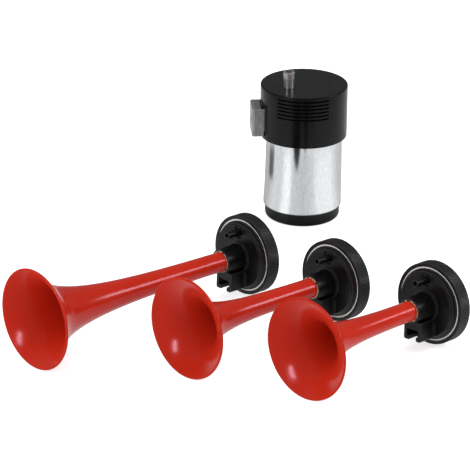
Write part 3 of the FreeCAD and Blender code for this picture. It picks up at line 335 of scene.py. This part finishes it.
def enamelled_copper():
    """Wound wire, as rows of fine turns with painted shade in the grooves between them."""
    s = Surface("enamelled_copper", "8A4A24", 0.3, metallic=1.0)
    turns = add(s.tree, "TexWave", {"Vector": s.measured(1.1), "Scale": 1.0, "Distortion": 0.4},
                wave_type="BANDS", bands_direction="DIAGONAL").outputs["Fac"]
    # Darker in the grooves between turns: painted shade
    s.tint(turns, "6E3517", "A55A2C", 0.0, 1.0)
    s.bump(turns, 0.12)
    return s.material


def make_materials():
    """One material for each material slot of the record."""
    return {
        "red_plastic": red_trumpet_plastic(),
        "head_plastic": black_head_plastic(),
        "cover_plastic": black_cover_plastic(),
        "plated_steel": plated_can_steel(),
        "zinc_steel": zinc_plate(),
        "bright_steel": bright_band_steel(),
        "motor_steel": machined_metal("ground_steel", "8E9092", "A6A8AA", 0.34),
        "ferrite": dull_solid("sintered_ferrite", "2A2B2D", "36373A", 0.7, 0.5, 0.03),
        "copper": enamelled_copper(),
        "bronze": machined_metal("sintered_bronze", "9C7A46", "B08C55", 0.45, 0.4),
        "pump_alloy": machined_metal("cast_pump_alloy", "A9ABAD", "BEC0C1", 0.4, 0.5),
        "carbon": dull_solid("carbon", "1C1C1D", "2C2C2E", 0.55, 0.3, 0.01),
        "card_board": dull_solid("phenolic_board", "5A3820", "6E4829", 0.6, 0.8, 0.02),
        "seal_rubber": dull_solid("seal_rubber", "161616", "202020", 0.7, 0.6, 0.01),
        "gasket_fibre": dull_solid("gasket_fibre", "8A7F6B", "A39880", 0.85, 0.7, 0.05),
        "glue": set_adhesive(),
        "foam": open_foam(),
        "tin_brass": machined_metal("blade_brass", "B9A368", "CDB87C", 0.3),
    }


def dress_frame(frame, materials):
    """Every CAD node takes its slot's material."""
    slots = {part["node"]: part["material_slot"] for part in frame["record"]["subparts"]}
    for name, node in frame["nodes"].items():
        node.data.materials.clear()
        node.data.materials.append(materials[slots[name]])


def bracket_lid(frame, materials):
    """Folded lip that closes the top of the bracket's channel, short of the cover."""
    hole = [m for m in frame["record"]["mounts"] if m["name"] == "bracket_hole"][0]
    out = Vector(hole["axis"])
    side = Vector((-out.y, out.x, 0))
    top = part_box("mounting_bracket")[1].z
    web = hole["dims"]["length_mm"] / 2 + LID_GAP
    corner = -web - LID_CORNER
    outline = [(-web, LID_FRONT_HALF), (corner, LID_HALF_WIDTH), (-LID_REACH, LID_HALF_WIDTH),
               (-LID_REACH, -LID_HALF_WIDTH), (corner, -LID_HALF_WIDTH), (-web, -LID_FRONT_HALF)]
    shape = bmesh.new()
    rings = []
    for height in (top - LID_THICKNESS * MM, top):
        rings.append([shape.verts.new(Vector((hole["pos_m"][0], hole["pos_m"][1], height))
                                      + out * (u * MM) + side * (v * MM)) for u, v in outline])
    shape.faces.new(rings[0])
    shape.faces.new(rings[1])
    count = len(outline)
    for i in range(count):
        j = (i + 1) % count
        shape.faces.new([rings[0][i], rings[0][j], rings[1][j], rings[1][i]])
    bmesh.ops.recalc_face_normals(shape, faces=shape.faces)
    mesh = bpy.data.meshes.new("bracket_lid")
    shape.to_mesh(mesh)
    shape.free()
    lid = bpy.data.objects.new("bracket_lid", mesh)
    bpy.context.scene.collection.objects.link(lid)
    mesh.materials.append(materials["zinc_steel"])
    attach(lid, "compressor")


# Studio

def painted_floor_reflection(tree):
    """How bright the painted reflection on the floor is to gloss: the levels round the compressor, with
    a dark strip and painted shade round the can's foot, then a paler sheet, then the plain level.
    """
    place = add(tree, "TexCoord").outputs["Object"]
    offset = add(tree, "VectorMath", {0: place, 1: COMPRESSOR}, operation="SUBTRACT").outputs[0]
    turn = add(tree, "TexGradient", {"Vector": offset}, gradient_type="RADIAL").outputs["Fac"]
    levels = add(tree, "ValToRGB", {"Fac": turn})
    stops = levels.color_ramp.elements
    for angle, level in PAINTED_REFLECTION_LEVELS:
        stop = stops.new(angle / 360 + 0.5)
        stop.color = (level / 2, level / 2, level / 2, 1)
    stops.remove(stops[0])
    stops.remove(stops[-1])
    far = add(tree, "VectorMath", {0: offset}, operation="LENGTH").outputs["Value"]
    near = add(tree, "MapRange", {
        "Value": far, "From Min": PAINTED_REFLECTION_REACH, "From Max": PAINTED_REFLECTION_REACH * EDGE_FADE, "To Min": 1,
        "To Max": 0})
    # A painted dark reflection runs out as a strip on one heading
    off = add(tree, "Math", {0: turn, 1: STRIP_HEADING / 360 + 0.5}, operation="SUBTRACT").outputs[0]
    aside = add(tree, "Math", {0: off}, operation="ABSOLUTE").outputs[0]
    across = add(tree, "MapRange", {
        "Value": aside, "From Min": STRIP_HALF / 720, "From Max": STRIP_HALF / 360, "To Min": STRIP_DARK,
        "To Max": 0})
    along = add(tree, "MapRange", {
        "Value": far, "From Min": STRIP_START, "From Max": STRIP_START * STRIP_FADE, "To Min": 0,
        "To Max": 1})
    # Painted shade in the reflection round the can's foot
    foot = add(tree, "MapRange", {
        "Value": far, "From Min": FOOT_START, "From Max": FOOT_END, "To Min": FOOT_LIGHT, "To Max": 1})
    dark = add(tree, "Math", {0: across.outputs[0], 1: along.outputs[0]}, operation="MULTIPLY")
    rest = add(tree, "Math", {0: 1.0, 1: dark.outputs[0]}, operation="SUBTRACT")
    lit = add(tree, "Math", {0: levels.outputs["Color"], 1: 2.0 * PAINTED_REFLECTION_GAIN}, operation="MULTIPLY")
    shaded = add(tree, "Math", {0: lit.outputs[0], 1: rest.outputs[0]}, operation="MULTIPLY")
    bright = add(tree, "Math", {0: shaded.outputs[0], 1: foot.outputs[0]}, operation="MULTIPLY")
    around = add(tree, "MapRange", {
        "Value": far, "From Min": SHEET_REACH, "From Max": SHEET_REACH * EDGE_FADE,
        "To Min": SHEET_LIGHT, "To Max": FLOOR_GLOSS})
    return add(tree, "Mix", {0: near.outputs[0], 2: around.outputs[0], 3: bright.outputs[0]},
               data_type="FLOAT").outputs[0]


def studio_floor():
    """Pale floor that keeps the shadow, reads white to the camera and shows gloss a painted reflection.
    """
    mesh = bpy.data.meshes.new("floor")
    corners = ((-1, -1), (1, -1), (1, 1), (-1, 1))
    mesh.from_pydata([(x * FLOOR_HALF, y * FLOOR_HALF, 0) for x, y in corners], [], [(0, 1, 2, 3)])
    floor = bpy.data.objects.new("floor", mesh)
    bpy.context.scene.collection.objects.link(floor)
    material = bpy.data.materials.new("pale_floor")
    material.use_nodes = True
    tree = material.node_tree
    tree.nodes.clear()
    output = add(tree, "OutputMaterial")
    path = add(tree, "LightPath")
    matte = add(tree, "BsdfDiffuse", {"Color": colour("F0F0F0")})
    glow = add(tree, "Emission", {"Color": colour("FFFFFF"), "Strength": FLOOR_GLOW})
    both = add(tree, "AddShader", {0: matte.outputs[0], 1: glow.outputs[0]})
    # The painted reflection glows from the floor for gloss, though no lamp stands there
    painted_reflection = add(tree, "Emission", {"Color": colour("FFFFFF"), "Strength": painted_floor_reflection(tree)})
    gloss = add(tree, "MixShader", {
        0: path.outputs["Is Glossy Ray"], 1: matte.outputs[0], 2: painted_reflection.outputs[0]})
    mixed = add(tree, "MixShader", {
        0: path.outputs["Is Camera Ray"], 1: gloss.outputs[0], 2: both.outputs[0]})
    tree.links.new(mixed.outputs[0], output.inputs[0])
    mesh.materials.append(material)


def studio_world():
    """White all round to the camera; to the object a soft room that gloss sees dimmer."""
    world = bpy.data.worlds.new("studio")
    bpy.context.scene.world = world
    world.use_nodes = True
    tree = world.node_tree
    tree.nodes.clear()
    output = add(tree, "OutputWorld")
    path = add(tree, "LightPath")
    white = add(tree, "Background", {"Color": colour("FFFFFF"), "Strength": 1.0})
    room = add(tree, "Background", {"Color": colour("FFFFFF"), "Strength": ROOM_LIGHT})
    dim = add(tree, "Background", {"Color": colour("FFFFFF"), "Strength": ROOM_GLOSS})
    soft = add(tree, "MixShader", {
        0: path.outputs["Is Glossy Ray"], 1: room.outputs[0], 2: dim.outputs[0]})
    mixed = add(tree, "MixShader", {
        0: path.outputs["Is Camera Ray"], 1: soft.outputs[0], 2: white.outputs[0]})
    tree.links.new(mixed.outputs[0], output.inputs[0])


def area_light(name, place, target, size, watts, in_gloss=True):
    data = bpy.data.lights.new(name, "AREA")
    data.shape = "RECTANGLE"
    data.size, data.size_y = size
    data.energy = watts
    light = bpy.data.objects.new(name, data)
    light.location = place
    light.visible_glossy = in_gloss
    light.rotation_euler = (Vector(target) - Vector(place)).to_track_quat("-Z", "Y").to_euler()
    bpy.context.scene.collection.objects.link(light)


def studio_lights():
    """Two boxes draw the lines on the tubes and the spots in the bells; three fills only lift shade."""
    area_light("tube_box", place=(0.74, 0.78, 0.52), target=(0, -0.05, 0.03), size=(0.3, 0.3), watts=3.0)
    area_light("bell_box", place=(0.04, -1.2, 0.6), target=(0.02, -0.12, 0.015), size=(0.44, 0.16),
               watts=4.3)
    area_light("top_fill", place=(0.2, 0.1, 1.7), target=(0, 0, 0.05), size=(1.2, 1.2), watts=11.0,
               in_gloss=False)
    area_light("left_fill", place=(-1.0, -0.9, 0.35), target=(0, 0, 0.03), size=(0.8, 0.5), watts=3.2,
               in_gloss=False)
    area_light("side_fill", place=(1.4, 0.35, 0.12), target=(0.03, -0.03, 0.03), size=(0.8, 0.24),
               watts=2.6, in_gloss=False)


def set_view():
    view = bpy.context.scene.view_settings
    view.view_transform = "Standard"


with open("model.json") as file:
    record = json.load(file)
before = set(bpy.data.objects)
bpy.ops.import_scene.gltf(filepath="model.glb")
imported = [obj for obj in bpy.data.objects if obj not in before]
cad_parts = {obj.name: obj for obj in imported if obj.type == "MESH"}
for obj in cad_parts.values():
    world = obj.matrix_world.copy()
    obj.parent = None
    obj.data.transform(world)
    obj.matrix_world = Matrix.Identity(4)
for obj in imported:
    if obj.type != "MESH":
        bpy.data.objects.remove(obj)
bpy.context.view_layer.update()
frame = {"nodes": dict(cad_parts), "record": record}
set_camera()
set_view()
finishes = make_materials()
dress_frame(frame, finishes)
bracket_lid(frame, finishes)
studio_floor()
studio_world()
studio_lights()
